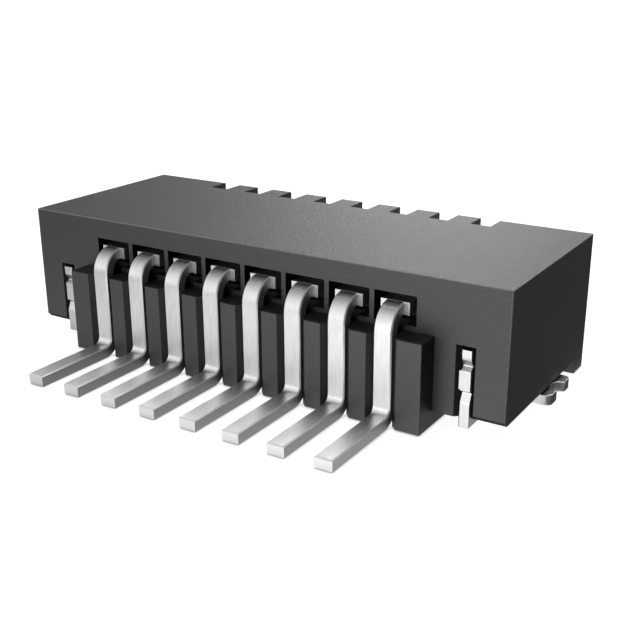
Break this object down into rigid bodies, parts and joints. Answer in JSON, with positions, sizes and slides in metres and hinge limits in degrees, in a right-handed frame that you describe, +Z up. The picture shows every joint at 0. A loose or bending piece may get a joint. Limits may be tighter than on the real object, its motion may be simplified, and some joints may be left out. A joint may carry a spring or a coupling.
{
  "type": "flex connector",
  "caption": "Low right-angle surface-mount connector that grips the end of a flat flexible cable and joins its conductors to a circuit board.",
  "frame": {"origin": "centre of the part's footprint on the surface of the board", "axes": "+X along the row of contacts, -Y towards the soldered tails, +Y towards the cable's opening, +Z up from the board"},
  "size_m": [0.0148, 0.0088, 0.0037],
  "materials": {
    "housing_plastic": "moulded, fine matte grain, dark grey",
    "contact_metal": "bright tin plating with faint drawn streaks",
    "nail_metal": "bright tin plating, a little duller than the contacts"
  },
  "bodies": {
    "root": {"housing": "housing_plastic", "left_fitting_nail": "nail_metal", "right_fitting_nail": "nail_metal", "contact_1": "contact_metal", "contact_2": "contact_metal", "contact_3": "contact_metal", "contact_4": "contact_metal", "contact_5": "contact_metal", "contact_6": "contact_metal", "contact_7": "contact_metal", "contact_8": "contact_metal"}
  },
  "joints": []
}
